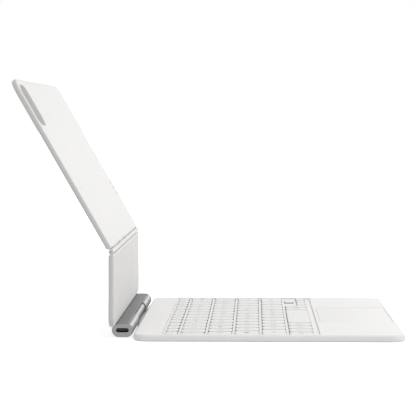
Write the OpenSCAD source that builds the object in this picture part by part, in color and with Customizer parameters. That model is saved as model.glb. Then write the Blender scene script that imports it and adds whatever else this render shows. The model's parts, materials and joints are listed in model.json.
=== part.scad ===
// Tablet keyboard case: a thin deck with a keyboard and a trackpad, a hinge barrel along its
// back edge, and a folding back made of a short lower panel and a long upper panel that holds
// the tablet with magnets. The case stands open: the barrel is turned back against its stop and
// the upper panel leans back at its crease.
// Frame: origin at the centre of the deck's underside, X to the user's right, Y to the back.

/* [Deck] */
// Width of the deck and of both panels, left to right
case_w = 248; // [236:1:280]
// Depth of the deck, front to back
deck_d = 180; // [176:1:215]
// Thickness of the deck
deck_h = 4.6; // [4.4:0.1:6]
// Radius of the deck's corners, seen from above
deck_corner_r = 10; // [6:0.5:14]
// Rounding of the deck's upper edge
deck_top_r = 1.5; // [0.6:0.1:2]
// Rounding of the deck's lower edge
deck_bottom_r = 1.5; // [0.6:0.1:1.8]
// Height of the bottom cover, where the two covers meet
deck_seam_z = 1.9; // [1.8:0.1:2.2]
// Side wall of both covers
cover_wall = 1.2; // [0.9:0.1:1.6]
// Floor of the bottom cover
cover_floor = 0.8; // [0.6:0.1:0.8]
// Top plate of the top cover
cover_top = 0.9; // [0.7:0.1:1.0]
// Locating lip of the bottom cover, inside the wall
lip_t = 0.7; // [0.5:0.1:1]
// Height of the lip above the seam
lip_h = 0.6; // [0.3:0.1:0.9]
// Thickness of the frame plate on the floor
frame_t = 0.5; // [0.4:0.1:0.6]
// Thickness of the frame's upright ribs
frame_rib = 1.0; // [0.8:0.1:1.4]

/* [Keyboard] */
// Distance from the deck's sides to the block of keys
key_margin = 4.5; // [4.4:0.1:6]
// Width of the narrow cell at the left of the number row
narrow_w = 12.1; // [11:0.1:14]
// Pitch of the rows, front to back
row_pitch = 18.1; // [17:0.1:18.3]
// Depth of the function row's cells
function_pitch = 10.1; // [9:0.1:11]
// Depth of the front row's cells
front_pitch = 18.1; // [17.4:0.1:19]
// Free space between two keys, from side to side
key_gap = 2.8; // [2.4:0.1:3]
// Width of the web's rib between two keys
rib_w = 1.5; // [1:0.1:1.7]
// Corner radius of a key
key_r = 1.9; // [0.8:0.1:2]
// Corner radius of the web's openings
web_corner_r = 0.5; // [0.3:0.1:2]
// Height of a key cap
key_h = 1.4; // [1.3:0.05:1.5]
// Roof of a key cap
key_roof = 0.8; // [0.6:0.1:0.9]
// Side wall of a key cap
key_wall = 0.7; // [0.5:0.1:0.9]
// Rounding of a key cap's front and back upper edges
key_edge_r = 0.35; // [0.2:0.05:0.5]
// How far the key tops lie under the deck's top
key_drop = 0.1; // [0:0.05:0.3]
// Width of the narrow key at the left of the front row
corner_key_w = 16; // [14:0.1:18]
// Width of the other left modifier keys' cells
modifier_w = 17.6; // [16:0.1:18.5]
// Width of the space bar's cell
space_w = 84; // [76:1:88]
// How far the web lies under the deck's top
web_drop = 0.3; // [0.2:0.1:0.9]
// Thickness of the web
web_t = 0.7; // [0.6:0.1:0.8]
// Strip of the web in front of the keys
web_front = 3.1; // [2.5:0.1:4]
// Strip of the web behind the keys
web_back = 0.9; // [0.5:0.1:1.5]
// Gap between the back row of cells and the deck's back edge
well_back = 19.9; // [18.5:0.1:21]
// Thickness of the light sheet
light_sheet_t = 0.2; // [0.15:0.05:0.25]
// Thickness of the switch sheet
switch_sheet_t = 0.2; // [0.15:0.05:0.25]
// Radius of a rubber dome's foot
dome_r = 2.3; // [1.8:0.1:2.5]
// Length of the scissor links under a full key
link_len = 11; // [8:0.5:12]
// Width of the bars of the scissor links
link_bar = 0.9; // [0.7:0.1:1]
// Thickness of the scissor links
link_t = 0.3; // [0.25:0.05:0.35]

/* [Trackpad] */
// Width of the trackpad
pad_w = 96; // [90:1:110]
// Distance from the web to the trackpad
pad_back_gap = 2.8; // [2:0.1:5]
// Distance from the deck's front edge to the trackpad
pad_margin = 3.1; // [2.9:0.1:6]
// Corner radius of the trackpad
pad_r = 3; // [2:0.5:5]
// Gap round the trackpad
pad_gap = 0.25; // [0.2:0.05:0.4]
// Thickness of the trackpad's glass
pad_t = 0.8; // [0.6:0.1:0.9]
// Thickness of the sensor board under the glass
pad_board_t = 0.4; // [0.3:0.05:0.5]
// Travel of the trackpad's click
pad_travel = 0.3; // [0.25:0.05:0.35]
// Length of each of the trackpad's leaf springs
spring_len = 10; // [7:0.5:14]
// Width of the leaf springs
spring_w = 4; // [3:0.5:5]
// Thickness of the leaf springs
spring_t = 0.2; // [0.15:0.05:0.3]
// Height of the bump at a leaf spring's free end
spring_bump = 0.6; // [0.5:0.05:0.8]
// Distance from the trackpad's sides to its springs
spring_inset = 12; // [9:1:16]

/* [Hinge barrel] */
// Distance from the case's sides to the barrel's ends
barrel_inset = 21.1; // [16:0.1:24]
// Height of the barrel's section
barrel_h = 9.3; // [8.8:0.1:9.8]
// Depth of the barrel's section, front to back
barrel_d = 14.3; // [13.8:0.1:16]
// Wall of the barrel
barrel_wall = 1.1; // [0.9:0.1:1.2]
// Gap between the deck and the barrel
barrel_gap = 1.1; // [1:0.1:1.6]
// Height of the barrel above the table
barrel_lift = 0.4; // [0.3:0.1:0.8]
// Length of the knuckle in the middle of the barrel
knuckle_len = 77; // [70:1:84]
// Gap at each end of the knuckle
knuckle_gap = 0.4; // [0.3:0.1:0.6]
// Running gap round the knuckle
knuckle_clear = 0.2; // [0.15:0.05:0.3]
// How far the knuckle's round front lies inside the barrel's
knuckle_inset = 0.9; // [0.7:0.1:1.2]
// How far the barrel wraps over the knuckle, in front of the hinge's axis
knuckle_wrap = 1.6; // [1:0.1:1.8]
// Radius of the hinge shafts
shaft_r = 1.9; // [1.6:0.1:2.2]
// Running clearance of the shafts
shaft_clear = 0.05; // [0.03:0.01:0.08]
// Length of a shaft inside the barrel
shaft_reach = 37; // [34:1:42]
// Length of a shaft inside the knuckle
shaft_grip = 16; // [12:1:24]
// Number of friction clips on each shaft
clip_count = 8; // [5:1:9]
// Width of a friction clip
clip_w = 2.6; // [2:0.1:2.8]
// Thickness of the hinge leaf between the deck and the knuckle
leaf_t = 1.2; // [1:0.1:1.2]
// Half width of the leaf's flange, which closes the gap between the deck and the barrel
flange_half = 54; // [46:1:60]
// Depth of the flange inside the deck
flange_depth = 5; // [4:0.5:6]
// Gap at each end of the flange
flange_gap = 1; // [0.4:0.1:2]
// Height of the leaf's seat above the frame plate
leaf_rise = 0.6; // [0.4:0.1:0.6]
// Thickness of the barrel's end caps
cap_t = 1.2; // [1:0.1:2]
// Rounding of the end caps' outer edge
cap_edge_r = 0.5; // [0.2:0.1:0.8]

/* [Charging port] */
// Width of the port's opening in the cap
port_w = 8.6; // [8.4:0.1:8.8]
// Height of the port's opening in the cap
port_h = 2.8; // [2.6:0.1:3]
// Wall of the port's metal shell
port_wall = 0.3; // [0.2:0.05:0.3]
// Length of the port's metal shell
port_len = 9; // [8:0.5:11]
// Width of the port's tongue
tongue_w = 6.7; // [6.4:0.1:6.8]
// Thickness of the port's tongue
tongue_t = 0.7; // [0.6:0.05:0.8]

/* [Back panels] */
// Thickness of both panels
panel_t = 3.5; // [3.4:0.1:4]
// Thickness of a panel's outer layer, where the edge shows its seam
skin_seam = 2.0; // [1.9:0.1:2.2]
// Side wall of the skins
skin_wall = 1.2; // [0.9:0.1:1.6]
// Face of the skins
skin_face = 0.7; // [0.5:0.1:0.8]
// Rounding of the panels' edges
panel_edge_r = 1.1; // [0.6:0.1:1.2]
// Corner radius at the upper panel's top
upper_corner_r = 12; // [8:0.5:16]
// Corner radius at the lower panel's foot
lower_corner_r = 8; // [5:0.5:12]
// Gap between the barrel and the lower panel's foot
foot_gap = 0.5; // [0.2:0.1:0.8]
// Height of the lower panel's foot above the hinge's axis
foot_rise = 3.6; // [3.4:0.1:4.1]
// Rounding of the foot's outer edge
foot_round_r = 2; // [1:0.1:2]
// Wall of the skins at the foot
foot_wall = 2.2; // [2:0.1:3]
// Depth from the lower panel's outer face back past the barrel
panel_proud = 0.45; // [0:0.05:0.8]
// Height of the crease above the table
crease_z = 58.9; // [54:0.1:66]
// Length of the upper panel from the crease
upper_len = 130.5; // [120:0.5:140]
// Thickness of the tab that joins the lower panel to the barrel
tab_t = 1.2; // [1:0.1:1.4]
// Depth of that tab below the panel
tab_depth = 3.9; // [3:0.1:4]
// Width of the flat cable that runs up both panels
cable_w = 10; // [6:1:14]
// Thickness of the flat cable
cable_t = 0.4; // [0.3:0.05:0.5]
// How far the upper panel leans back from upright
lean = 29.9; // [20:0.1:40]
// Gap between the crease's knuckles and each panel
crease_gap = 0.2; // [0.15:0.05:0.4]
// Number of knuckles along the crease, an odd number
crease_knuckles = 9; // [5:2:13]
// Distance that the crease stays inside the panels' sides
crease_inset = 1.0; // [0.5:0.1:4]
// Gap between two knuckles of the crease
crease_side_gap = 0.2; // [0.15:0.05:0.4]
// Radius of the crease pin
crease_pin_r = 0.6; // [0.5:0.05:0.8]
// Running clearance of the crease pin
crease_pin_clear = 0.05; // [0.03:0.01:0.08]
// Thickness of the crease's leaves
crease_leaf_t = 1.0; // [0.8:0.1:1.2]
// Depth of the crease's leaves inside the panels
crease_leaf_d = 9; // [7:0.5:12]

/* [Tablet side] */
// Side of the camera window
window = 31; // [26:0.5:34]
// Corner radius of the camera window
window_r = 8; // [5:0.5:10]
// Distance from the window to the panel's edges
window_margin = 4.5; // [4:0.1:7]
// Width of the contact pad
contact_w = 9; // [8:0.5:12]
// Length of the contact pad
contact_len = 24; // [20:0.5:28]
// Distance from the contact pad to the panel's right side
contact_margin = 7; // [5:0.5:12]
// Height of the contact pad's centre above the crease
contact_up = 38; // [28:0.5:50]
// Radius of a contact pin
contact_r = 1.1; // [0.8:0.1:1.3]
// Pitch of the three contact pins
contact_pitch = 5; // [4:0.5:6]
// How far the contact pins stand out of the panel
contact_proud = 0.3; // [0.2:0.05:0.5]
// Length of a magnet
magnet_len = 22; // [16:1:24]
// Width of a magnet
magnet_w = 6; // [4:0.5:7]
// Thickness of a magnet
magnet_t = 1.4; // [1:0.1:1.6]

/* [Hidden] */
$fn = 64;
FIT = 0.1;              // free space between parts that drop into each other
SHEET_FIT = 0.3;        // free space round a sheet or a board
OPEN = 1;               // how far a cut runs past the face that it opens

// Heights inside the deck
frame_top = cover_floor + frame_t;
deck_inner_top = deck_h - cover_top;
key_top = deck_h - key_drop;
key_foot = key_top - key_h;
key_ceiling = key_top - key_roof;
web_top = deck_h - web_drop;
web_foot = web_top - web_t;
web_skirt = rib_w / 2 - 2 * FIT;
light_top = frame_top + light_sheet_t;
switch_top = light_top + switch_sheet_t;
pad_top = deck_h - key_drop;
pad_foot = pad_top - pad_t;
pad_board_foot = pad_foot - pad_board_t;

// The keyboard's rows, counted from the back: 0 is the function row, 5 the front row
ROWS = 6;
FUNCTION_KEYS = 14;
// Rows 1 to 4 each have a run of full keys: its left end in key pitches from the middle, the
// number of full keys, and the number of keys that share the rest of the row
ROW_PLAN = [undef, [-6, 10, 3], [-5.75, 10, 3], [-5.5, 11, 1], [-5, 10, 1]];
// The front row: modifier keys beside the narrow one, and the keys behind the space bar
LEFT_MODIFIERS = 3;
LAST_KEYS = 5;
BACK = deck_d / 2 - well_back;
function row_back(r) = r == 0 ? BACK : BACK - function_pitch - (r - 1) * row_pitch;
function row_front(r) = r == ROWS - 1 ? row_back(r) - front_pitch : row_back(r + 1);
well_front = row_front(ROWS - 1) - web_front;
well_end = BACK + web_back;
well_d = well_end - well_front;
well_y = (well_end + well_front) / 2;
pad_front = -deck_d / 2 + pad_margin;
pad_d = well_front - pad_back_gap - pad_front;
pad_y = pad_front + pad_d / 2;
frame_wall_end = well_end + SHEET_FIT + frame_rib;
block_w = case_w - 2 * key_margin;
block_half = block_w / 2;
key_pitch = (block_half - narrow_w) / -ROW_PLAN[1][0];
space_left = corner_key_w - block_half + LEFT_MODIFIERS * modifier_w;

// Borders of the cells of each row, from left to right, on a fine grid
GRID = 0.02;
function spread(from, to, n) = [for (i = [0:n]) from + (to - from) * i / n];
function tail(list) = [for (i = [1:len(list) - 1]) list[i]];
function planned_borders(first, full, rest) =
    concat([-block_half], [for (i = [0:full]) (first + i) * key_pitch],
           tail(spread((first + full) * key_pitch, block_half, rest)));
function row_borders(r) =
    r == 0 ? spread(-block_half, block_half, FUNCTION_KEYS)
    : r < ROWS - 1 ? planned_borders(ROW_PLAN[r][0], ROW_PLAN[r][1], ROW_PLAN[r][2])
    : concat([-block_half], spread(corner_key_w - block_half, space_left, LEFT_MODIFIERS),
             spread(space_left + space_w, block_half, LAST_KEYS));
function row_cells(r) = [for (x = row_borders(r)) round(x / GRID) * GRID];

// The arrow keys are half as deep: up and down share a cell, and the other two are in front
ARROW_LEFT = 7;
ARROW_MIDDLE = 8;
ARROW_RIGHT = 9;
front_middle = (row_front(ROWS - 1) + row_back(ROWS - 1)) / 2;

// One cell: left, right, front and back
function cell(r, i) = [row_cells(r)[i], row_cells(r)[i + 1], row_front(r), row_back(r)];
function front_half(c) = [c[0], c[1], c[2], front_middle];
function back_half(c) = [c[0], c[1], front_middle, c[3]];
function plain_cells(r, first, last) = [for (i = [first:last]) cell(r, i)];

// Nodes that hold key caps, each with its cells
KEY_GROUPS = [
    ["key_escape", plain_cells(0, 0, 0)],
    ["keys_function", plain_cells(0, 1, 13)],
    ["keys_digits", plain_cells(1, 0, 12)],
    ["key_delete", plain_cells(1, 13, 13)],
    ["key_tab", plain_cells(2, 0, 0)],
    ["keys_upper_letters", plain_cells(2, 1, 13)],
    ["key_caps_lock", plain_cells(3, 0, 0)],
    ["keys_home_letters", plain_cells(3, 1, 11)],
    ["key_return", plain_cells(3, 12, 12)],
    ["key_shift_left", plain_cells(4, 0, 0)],
    ["keys_lower_letters", plain_cells(4, 1, 10)],
    ["key_shift_right", plain_cells(4, 11, 11)],
    ["keys_modifiers_left", plain_cells(5, 0, 3)],
    ["key_space", plain_cells(5, 4, 4)],
    ["keys_modifiers_right", plain_cells(5, 5, 6)],
    ["key_arrow_left", [front_half(cell(5, ARROW_LEFT))]],
    ["key_arrow_up", [back_half(cell(5, ARROW_MIDDLE))]],
    ["key_arrow_down", [front_half(cell(5, ARROW_MIDDLE))]],
    ["key_arrow_right", [front_half(cell(5, ARROW_RIGHT))]],
];
ALL_CELLS = [for (g = KEY_GROUPS) for (c = g[1]) c];

// Hinge between the deck and the barrel
barrel_len = case_w - 2 * barrel_inset;
barrel_r = barrel_h / 2;
axis_y = deck_d / 2 + barrel_gap + barrel_r;
axis_z = barrel_lift + barrel_r;
barrel_rear = barrel_d - barrel_h;
knuckle_r = barrel_r - knuckle_inset;
notch_half = knuckle_len / 2 + knuckle_gap;
bulkhead = 1.4;             // wall of the tube beside the knuckle
cavity_start = notch_half + bulkhead;
tube_half = barrel_len / 2 - cap_t;
cavity_r = barrel_r - barrel_wall;
housing_r = cavity_r - FIT / 2;
clip_r = housing_r - 0.5;
clip_pitch = clip_w + 0.4;
clip_start = cavity_start + 3;
clips_end = clip_start + clip_count * clip_pitch;
clip_tail = 1.4;            // height of a clip's tail
leaf_z = frame_top + leaf_rise;
leaf_back = axis_y - shaft_r + 0.4;
flange_front = deck_d / 2 - flange_depth;
flange_back = axis_y - sqrt(pow(barrel_r, 2) - pow(axis_z - leaf_z - leaf_t, 2)) - knuckle_clear;
leaf_front = frame_wall_end + 1.2;

// Back panels
panel_y = axis_y + barrel_rear + barrel_r + panel_proud - panel_t / 2;
panel_in = panel_y - panel_t / 2 - axis_y;
foot_z = axis_z + foot_rise;
crease_r = panel_t / 2;
panel_stop = crease_r + crease_gap;
lower_top = crease_z - panel_stop;
core_face = skin_face;
core_t = panel_t - 2 * skin_face;
crease_half = case_w / 2 - crease_inset;
knuckle_step = (2 * crease_half + crease_side_gap) / crease_knuckles;
window_x = -case_w / 2 + window_margin + window / 2;
window_y = upper_len - window_margin - window / 2;
contact_x = case_w / 2 - contact_margin - contact_w / 2;
tab_half = knuckle_len / 2 - 6;
tab_z = core_face + core_t - tab_t;
housing_end = clips_end + bulkhead;
cable_x = -housing_end - 4 - cable_w;
cable_z = core_face + core_t - cable_t;

// ---- Shared shapes -------------------------------------------------------------------------

// Rectangle with round corners, centred
module round_rect(w, d, r) {
    square([w - 2 * r, d], center = true);
    square([w, d - 2 * r], center = true);
    for (x = [-1, 1], y = [-1, 1])
        translate([x * (w / 2 - r), y * (d / 2 - r)]) circle(r);
}

// Square corner outside a round one, for trimming an edge
module corner_trim(r) {
    difference() {
        square(r + OPEN);
        circle(r);
    }
}

// Section of a plate's rim, outwards from the centre of its corner
module rim_section(r, h, low_r, high_r) {
    difference() {
        square([r, h]);
        if (high_r > 0) translate([r - high_r, h - high_r]) corner_trim(high_r);
        if (low_r > 0) translate([r - low_r, low_r]) mirror([0, 1]) corner_trim(low_r);
    }
}

// Plate with round corners of radius r whose lower and upper edges are rounded
module soft_plate(w, d, r, h, low_r, high_r) {
    for (i = [0:3]) {
        side = i % 2 == 0 ? 1 : 0;
        x = i == 0 || i == 3 ? 1 : -1;
        y = i < 2 ? 1 : -1;
        translate([x * (w / 2 - r), y * (d / 2 - r), 0]) rotate(i * 90)
            rotate_extrude(angle = 90) rim_section(r, h, low_r, high_r);
        rotate(i * 90) translate([(side == 1 ? w : d) / 2 - r, 0, 0]) rotate([90, 0, 0])
            linear_extrude((side == 1 ? d : w) - 2 * r, center = true)
                rim_section(r, h, low_r, high_r);
    }
    translate([r - w / 2, r - d / 2, 0]) cube([w - 2 * r, d - 2 * r, h]);
}

// Section of the barrel: two round ends, the front one on the hinge's axis
module barrel_section(r) {
    circle(r);
    translate([barrel_rear, 0]) circle(r);
    translate([0, -r]) square([barrel_rear, 2 * r]);
}

// Slot with round ends, centred, its long side along x
module slot_section(w, h) {
    round_rect(w, h, h / 2 - 0.001);
}

// Puts an x-y section across the barrel, extruded along X from x0 to x1
module along_barrel(x0, x1) {
    translate([x0, axis_y, axis_z]) rotate([90, 0, 90]) linear_extrude(x1 - x0) children();
}

// Same section on both sides of the middle
module both_sides() {
    children();
    mirror([1, 0, 0]) children();
}

// Panel frame: x to the right, y up the panel, z from its outer to its inner face
module panel_frame() {
    translate([0, panel_t / 2, 0]) rotate([90, 0, 0]) children();
}

module on_lower() {
    translate([0, panel_y, 0]) panel_frame() children();
}

module on_upper() {
    translate([0, panel_y, crease_z]) rotate([-lean, 0, 0]) panel_frame() children();
}

// ---- Deck ----------------------------------------------------------------------------------

// Outline of the space inside both covers, less a free space all round
module deck_inside(inset) {
    round_rect(case_w - 2 * (cover_wall + inset), deck_d - 2 * (cover_wall + inset),
               deck_corner_r - cover_wall - inset);
}

// Slot in the deck's back wall for the hinge leaf and its flange
module leaf_slot() {
    half = flange_half + flange_gap;
    translate([-half, flange_front - SHEET_FIT, leaf_z]) cube([2 * half, deck_d, leaf_t + FIT]);
    translate([-knuckle_len / 2 - SHEET_FIT, leaf_front, leaf_z])
        cube([knuckle_len + 2 * SHEET_FIT, deck_d, leaf_t + FIT]);
}

module base_bottom_cover() {
    color("white") difference() {
        union() {
            soft_plate(case_w, deck_d, deck_corner_r, deck_seam_z, deck_bottom_r, 0);
            translate([0, 0, cover_floor])
                linear_extrude(deck_seam_z + lip_h - cover_floor) deck_inside(FIT);
        }
        translate([0, 0, cover_floor])
            linear_extrude(deck_h) deck_inside(FIT + lip_t);
        leaf_slot();
    }
}

module base_top_cover() {
    color("white") difference() {
        translate([0, 0, deck_seam_z])
            soft_plate(case_w, deck_d, deck_corner_r, deck_h - deck_seam_z, 0, deck_top_r);
        translate([0, 0, -OPEN]) linear_extrude(deck_inner_top + OPEN) deck_inside(0);
        translate([0, well_y, 0]) linear_extrude(deck_h + OPEN)
            round_rect(block_w + 2 * FIT, well_d + 2 * FIT, key_r + FIT);
        translate([0, pad_y, 0]) linear_extrude(deck_h + OPEN)
            round_rect(pad_w + 2 * pad_gap, pad_d + 2 * pad_gap, pad_r + pad_gap);
        leaf_slot();
    }
}

frame_half_w = case_w / 2 - cover_wall - FIT - lip_t - SHEET_FIT;
frame_half_d = deck_d / 2 - cover_wall - FIT - lip_t - SHEET_FIT;

// Lightening holes: as many as fit between the trackpad's rail and the frame's side
palm_hole_r = 7;
hole_pitch = 3 * palm_hole_r;
palm_left = pad_w / 2 + pad_gap + SHEET_FIT + frame_rib;
hole_count = floor((frame_half_w - palm_left) / hole_pitch);
hole_first = (frame_half_w + palm_left - (hole_count - 1) * hole_pitch) / 2;

// Upright wall round an opening, from the frame plate up to the top cover
module frame_wall(w, d, r, y) {
    translate([0, y, frame_top]) linear_extrude(deck_inner_top - frame_top) difference() {
        round_rect(w + 2 * frame_rib, d + 2 * frame_rib, r + frame_rib);
        round_rect(w, d, r);
    }
}

module base_frame() {
    wall_w = block_w + 2 * SHEET_FIT;
    wall_d = well_d + 2 * SHEET_FIT;
    pad_wall_w = pad_w + 2 * pad_gap;
    color("silver") difference() {
        union() {
            translate([0, 0, cover_floor]) linear_extrude(frame_t)
                round_rect(2 * frame_half_w, 2 * frame_half_d, deck_corner_r - 3);
            frame_wall(wall_w, wall_d, key_r, well_y);
            // Two rails carry the top cover beside the trackpad
            both_sides() translate([pad_wall_w / 2 + SHEET_FIT, -frame_half_d, frame_top])
                cube([frame_rib, well_front - frame_rib - 2 * SHEET_FIT + frame_half_d,
                      deck_inner_top - frame_top]);
            // Seats of the trackpad's springs
            each_spring() translate([0, 0, frame_top])
                cylinder(r = spring_w / 2, h = pad_board_foot - spring_bump - spring_t - frame_top);
            // Seat of the hinge leaf
            translate([-knuckle_len / 2, leaf_front, frame_top])
                cube([knuckle_len, frame_half_d - leaf_front, leaf_rise]);
        }
        // Lightening holes under the palm rests
        both_sides() for (i = [0:hole_count - 1])
            translate([hole_first + i * hole_pitch, pad_y + palm_hole_r, 0])
                cylinder(r = palm_hole_r, h = deck_h);
        for (x = screw_places) translate([x, screw_y, 0]) cylinder(r = screw_r, h = deck_h);
    }
}

screw_r = 0.8;
screw_head_r = 1.7;
screw_head_h = 0.5;
screw_y = (leaf_front + deck_d / 2) / 2;
screw_places = [for (i = [0:3]) (i - 1.5) * knuckle_len / 4.4];

module light_sheet() {
    color("lightyellow") translate([0, well_y, frame_top]) linear_extrude(light_sheet_t)
        square([sheet_w, sheet_d], center = true);
}

sheet_w = block_w - 2 * (web_skirt + SHEET_FIT);
sheet_d = well_d - 2 * (web_skirt + SHEET_FIT);

module switch_sheet() {
    color("dimgray") translate([0, well_y, light_top]) linear_extrude(switch_sheet_t)
        square([sheet_w, sheet_d], center = true);
}

// Half width and half depth of the key that fills a cell
function key_w(c) = c[1] - c[0] - key_gap;
function key_d(c) = c[3] - c[2] - key_gap;
function mid_x(c) = (c[0] + c[1]) / 2;
function mid_y(c) = (c[2] + c[3]) / 2;

// One key cap: a hollow shell whose front and back upper edges are rounded
module key_cap(c) {
    translate([mid_x(c), mid_y(c), key_foot]) difference() {
        intersection() {
            linear_extrude(key_h) round_rect(key_w(c), key_d(c), key_r);
            rotate([90, 0, 90]) linear_extrude(key_w(c) + OPEN, center = true) difference() {
                translate([-key_d(c) / 2, 0]) square([key_d(c), key_h]);
                for (s = [-1, 1]) scale([s, 1])
                    translate([key_d(c) / 2 - key_edge_r, key_h - key_edge_r])
                        corner_trim(key_edge_r);
            }
        }
        translate([0, 0, -OPEN]) linear_extrude(key_h - key_roof + OPEN)
            square([key_w(c) - 2 * key_wall, key_d(c) - 2 * key_wall], center = true);
    }
}

module key_group(cells) {
    color("white") for (c = cells) key_cap(c);
}

// A rubber dome under each key, from the switch sheet up to the key's roof. It leaves room for
// the scissor links, two bars deep at each side and one at the front and the back.
function hollow_w(c) = key_w(c) - 2 * key_wall;
function hollow_d(c) = key_d(c) - 2 * key_wall;
function dome_room(c) = min(hollow_d(c) / 2 - link_bar, hollow_w(c) / 2 - 2 * link_bar) - 0.5;
function has_links(c) = dome_room(c) > 1;
function dome_foot(c) = has_links(c) ? min(dome_r, dome_room(c)) : 1;

module key_domes() {
    dome_h = key_ceiling - switch_top;
    color("lightgray") for (c = ALL_CELLS)
        translate([mid_x(c), mid_y(c), switch_top]) {
            cylinder(r1 = dome_foot(c), r2 = dome_foot(c) * 0.6, h = dome_h * 0.8);
            translate([0, 0, dome_h * 0.8]) cylinder(r = dome_foot(c) * 0.45, h = dome_h * 0.2);
        }
}

// A pair of crossed frames round each dome. The outer frame leans one way and the inner frame,
// which fits inside it, leans the other way.
module key_link(len, w, opening, tilt) {
    rotate([tilt, 0, 0]) difference() {
        cube([w, len, link_t], center = true);
        cube([opening, len - 2 * link_bar, link_t + OPEN], center = true);
    }
}

module key_links() {
    rise = key_ceiling - switch_top - link_t;
    color("gainsboro") for (c = ALL_CELLS) if (has_links(c)) {
        len = min(link_len, hollow_d(c) - 2 * link_t);
        inner_w = 2 * dome_foot(c) + 0.5;
        outer_w = inner_w + 2 * (link_bar - FIT);
        tilt = asin(rise / len);
        translate([mid_x(c), mid_y(c), (switch_top + key_ceiling) / 2]) {
            key_link(len, outer_w + 2 * link_bar, outer_w + 2 * FIT, tilt);
            key_link(len, outer_w, inner_w, -tilt);
        }
    }
}

// Grid round the keys, with a skirt that stands on the frame
module key_web() {
    color("white") translate([0, well_y, 0]) {
        translate([0, 0, web_foot]) linear_extrude(web_t) difference() {
            round_rect(block_w, well_d, key_r);
            for (c = ALL_CELLS) translate([mid_x(c), mid_y(c) - well_y])
                round_rect(c[1] - c[0] - rib_w, c[3] - c[2] - rib_w, web_corner_r);
        }
        translate([0, 0, frame_top]) linear_extrude(web_foot - frame_top) difference() {
            round_rect(block_w, well_d, key_r);
            square([block_w - 2 * web_skirt, well_d - 2 * web_skirt], center = true);
        }
    }
}

module trackpad_glass() {
    color("whitesmoke") translate([0, pad_y, pad_foot]) linear_extrude(pad_t)
        round_rect(pad_w, pad_d, pad_r);
}

module trackpad_board() {
    color("darkgreen") translate([0, pad_y, pad_board_foot]) linear_extrude(pad_board_t)
        round_rect(pad_w - 4, pad_d - 4, pad_r - 1);
}

// Places of the leaf springs' held ends, each spring growing towards the trackpad's middle
module each_spring() {
    for (x = [-1, 1], y = [-1, 1])
        translate([x * (pad_w / 2 - spring_inset), pad_y + y * (pad_d / 2 - spring_inset), 0])
            mirror([x > 0 ? 1 : 0, 0, 0]) children();
}

// Leaf springs that carry the board: each is held on a seat of the frame and lifts at its tip
module trackpad_springs() {
    color("silver") each_spring() translate([0, 0, pad_board_foot - spring_bump - spring_t]) {
        linear_extrude(spring_t) translate([spring_len / 2, 0])
            round_rect(spring_len + spring_w, spring_w, spring_w / 2 - 0.001);
        translate([spring_len, 0, 0]) cylinder(r = spring_w / 4, h = spring_t + spring_bump);
    }
}

module click_switch() {
    switch_h = pad_board_foot - pad_travel - frame_top;
    color("black") translate([0, pad_y, frame_top]) {
        translate([-3, -3, 0]) cube([6, 6, switch_h * 0.7]);
        cylinder(r = 1.5, h = switch_h);
    }
}

// Bars that hold the closed case, on the frame beside the trackpad
module deck_magnets() {
    color("gray") both_sides() for (i = [-1, 1])
        translate([(palm_left + frame_half_w) / 2 + i * (magnet_len / 2 + 3), 7 - frame_half_d, frame_top])
            translate([-magnet_len / 2, -magnet_w / 2, 0]) cube([magnet_len, magnet_w, magnet_t]);
}

// Circuit board with its chips, beside the hinge leaf
module control_board() {
    board_w = 52;
    board_y = frame_wall_end + 0.8;
    board_d = flange_front - 1 - board_y;
    color("darkgreen") translate([-knuckle_len / 2 - board_w - 10, board_y, frame_top]) {
        cube([board_w, board_d, 0.8]);
        for (i = [0:2]) translate([6 + i * 15, board_d / 2 - 3, 0.8]) cube([6 + i, 6, 0.8]);
    }
}

// ---- Hinge ---------------------------------------------------------------------------------

module hinge_leaf() {
    color("gray") difference() {
        union() {
            translate([-knuckle_len / 2, leaf_front, leaf_z])
                cube([knuckle_len, leaf_back - leaf_front, leaf_t]);
            translate([-flange_half, flange_front, leaf_z])
                cube([2 * flange_half, flange_back - flange_front, leaf_t]);
        }
        for (x = screw_places) translate([x, screw_y, 0]) cylinder(r = screw_r, h = deck_h);
    }
}

module leaf_screws() {
    color("silver") for (x = screw_places) translate([x, screw_y, 0]) {
        translate([0, 0, cover_floor]) cylinder(r = screw_r, h = leaf_z + leaf_t - cover_floor);
        translate([0, 0, leaf_z + leaf_t]) difference() {
            cylinder(r = screw_head_r, h = screw_head_h);
            translate([0, 0, screw_head_h / 2]) cylinder(r = 0.7, h = OPEN, $fn = 6);
        }
    }
}

module hinge_knuckle() {
    color("silver") difference() {
        along_barrel(-knuckle_len / 2, knuckle_len / 2) circle(knuckle_r);
        translate([-knuckle_len / 2 - OPEN, leaf_front, leaf_z])
            cube([knuckle_len + 2 * OPEN, leaf_back - leaf_front, leaf_t]);
        both_sides() along_barrel(knuckle_len / 2 - shaft_grip, knuckle_len / 2 + OPEN)
            circle(shaft_r);
    }
}

module hinge_shafts() {
    color("dimgray") both_sides() {
        along_barrel(knuckle_len / 2 - shaft_grip, notch_half + shaft_reach) circle(shaft_r);
        along_barrel(notch_half + shaft_reach, notch_half + shaft_reach + 1) circle(shaft_r - 0.4);
    }
}

// ---- Barrel --------------------------------------------------------------------------------

module barrel_tube() {
    color("silver") difference() {
        along_barrel(-tube_half, tube_half) barrel_section(barrel_r);
        both_sides() {
            along_barrel(cavity_start, tube_half + OPEN) barrel_section(cavity_r);
            along_barrel(notch_half - OPEN, cavity_start + OPEN) circle(shaft_r + 4 * shaft_clear);
        }
        // Room for the knuckle, behind two lips that wrap it
        along_barrel(-notch_half, notch_half) {
            circle(knuckle_r + knuckle_clear);
            translate([-barrel_d - knuckle_wrap, -barrel_d]) square([barrel_d, 2 * barrel_d]);
        }
        on_lower() lower_tab(FIT);
    }
}

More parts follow.
